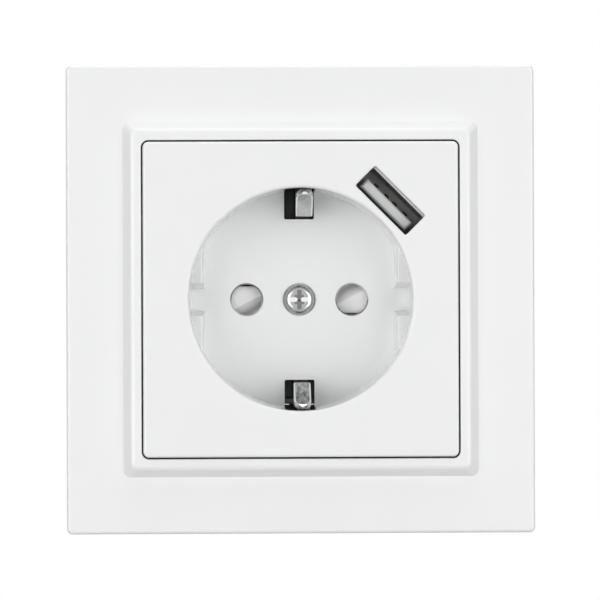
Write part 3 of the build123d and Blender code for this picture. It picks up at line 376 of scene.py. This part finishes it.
# By node: those that carry marks, or differ from their slot
yoke_marks = [(clip_streaks_and_shade, (0.1, 0.1, 0.102)), (clip_edge_highlight, grey(0.85)), (shade_under_floor, grey(0.06))]
# Painted shade in the seam, on the walls of the port's opening and on the lead of the pin holes
plate_marks = [(shade_in_seam, SHADE), (in_port, SHADE), (shade_at_pins, grey(0.1))]
screw_marks = [(shade_in_recess, grey(0.22))]
own_looks = {
    "centre_plate": plastic("plate_white", WHITE, *WHITE_FINISH, plate_marks),
    "cover_frame": plastic("frame_white", WHITE, *WHITE_FINISH, [(shade_in_seam, SHADE)]),
    # The yoke's steel is a lighter copy of the zinc steel, with painted highlights on the clips' edges and
    # painted shade on the lower clip and behind the floor
    "earth_yoke": metal("yoke_steel", (0.66, 0.663, 0.67), 0.18, ALONG_Z, 1.5e-6, yoke_marks),
    # The port's contacts take a darker copy of the brass, as painted shade inside the port
    "usb_contacts": metal("contact_brass_shaded", (0.4, 0.3, 0.14), 0.3, ALONG_Y),
    "usb_tongue": plastic("tongue_white", (0.8, 0.81, 0.805), 0.4, 0.0003, 8e-6, 0.04),
    # The screw's steel is darker than the zinc steel, as painted shade for the darker space its head reflects
    "centre_screw": metal("screw_steel", (0.46, 0.463, 0.47), 0.14, (1, 1, 1), marks=screw_marks),
}

# The shutter's plastic lets some light through
shutter_shader = looks["shutter_white"].node_tree.nodes["Principled BSDF"]
shutter_shader.inputs["Subsurface Weight"].default_value = 0.8
shutter_shader.inputs["Subsurface Radius"].default_value = (1.0, 1.0, 0.95)
shutter_shader.inputs["Subsurface Scale"].default_value = 0.003

for part in frame["record"]["subparts"]:
    name = part["node"]
    mesh = nodes[name].data
    mesh.materials.clear()
    mesh.materials.append(own_looks[name] if name in own_looks else looks[part["material_slot"]])

# Light: two soft lamps on each side, one above, one behind, and a faint even surround.
# Each lamp has its azimuth and elevation in degrees, the level it lights a white face to, and its size
AMBIENT = 0.03
LAMPS = {
    "left": ((-44, 0), 0.41, (0.45, 0.60)),
    "right": ((44, 0), 0.405, (0.45, 0.60)),
    "left_near": ((-19, 0), 0.175, (0.16, 0.50)),
    "right_near": ((19, 0), 0.172, (0.16, 0.50)),
    "above": ((0, 83), 0.50, (0.60, 0.60)),
    "behind": ((165, 35), 0.42, (0.80, 0.80)),
}
LAMP_FAR = 0.8

for name, ((azimuth, elevation), level, (wide, high)) in LAMPS.items():
    lamp_data = bpy.data.lights.new(name, "AREA")
    lamp_data.shape = "RECTANGLE"
    lamp_data.size = wide
    lamp_data.size_y = high
    lamp_data.energy = level * math.pi ** 2 * LAMP_FAR ** 2
    around, up = math.radians(azimuth), math.radians(elevation)
    way = Vector((math.sin(around) * math.cos(up), -math.cos(around) * math.cos(up), math.sin(up)))
    facing = way.to_track_quat("Z", "Y").to_matrix().to_4x4()
    lamp = bpy.data.objects.new(name, lamp_data)
    lamp.matrix_world = Matrix.Translation(way * LAMP_FAR) @ facing
    lamp.visible_camera = False
    scene.collection.objects.link(lamp)


def seen_ray(tree):
    """1 for rays that show the background: from the camera, a reflection or through glass."""
    path = tree.nodes.new("ShaderNodeLightPath")
    seen = path.outputs["Is Camera Ray"]
    for kind in ("Is Glossy Ray", "Is Transmission Ray"):
        seen = maths(tree, "MAXIMUM", seen, path.outputs[kind])
    return seen


def background(tree, strength):
    """An even white surround."""
    node = tree.nodes.new("ShaderNodeBackground")
    node.inputs["Color"].default_value = (1, 1, 1, 1)
    node.inputs["Strength"].default_value = strength
    return node.outputs["Background"]


world = bpy.data.worlds.new("studio")
scene.world = world
world.use_nodes = True
tree = world.node_tree
tree.nodes.clear()
pick = tree.nodes.new("ShaderNodeMixShader")
tree.links.new(seen_ray(tree), pick.inputs["Fac"])
tree.links.new(background(tree, AMBIENT), pick.inputs[1])
tree.links.new(background(tree, 1.0), pick.inputs[2])
out = tree.nodes.new("ShaderNodeOutputWorld")
tree.links.new(pick.outputs["Shader"], out.inputs["Surface"])

# Floor: well below the object, which hangs on a wall, and lighter towards its edge, where the backdrop begins
FLOOR = -0.55
FLOOR_CORNERS = [(-6, -6), (6, -6), (6, 4), (-6, 4)]
FLOOR_NEAR, FLOOR_FAR = 1.0, 3.8
FLOOR_LIFT, EDGE_LIFT = 0.80, 0.19
FLOOR_CLOUD, FLOOR_ROUGH = 0.25, 0.9
FLOOR_DARK, FLOOR_LIGHT = (0.21, 0.21, 0.207), (0.23, 0.23, 0.227)

floor_mesh = bpy.data.meshes.new("floor")
floor_mesh.from_pydata([(x, y, FLOOR) for x, y in FLOOR_CORNERS], [], [(0, 1, 2, 3)])
floor = bpy.data.objects.new("floor", floor_mesh)
scene.collection.objects.link(floor)
material, tree, shader = surface("floor")
shader.inputs["Roughness"].default_value = FLOOR_ROUGH
pale = clouded(tree, noise(tree, FLOOR_CLOUD), FLOOR_DARK, FLOOR_LIGHT)
tree.links.new(pale, shader.inputs["Base Color"])
away = length(tree, here(tree), (1, 1, 0))
lift = times(tree, ramp(tree, away, FLOOR_NEAR, FLOOR_FAR), EDGE_LIFT)
lift = times(tree, seen_ray(tree), maths(tree, "ADD", lift, FLOOR_LIFT))
tree.links.new(lift, shader.inputs["Emission Strength"])
shader.inputs["Emission Color"].default_value = (1, 1, 1, 1)
floor_mesh.materials.append(material)
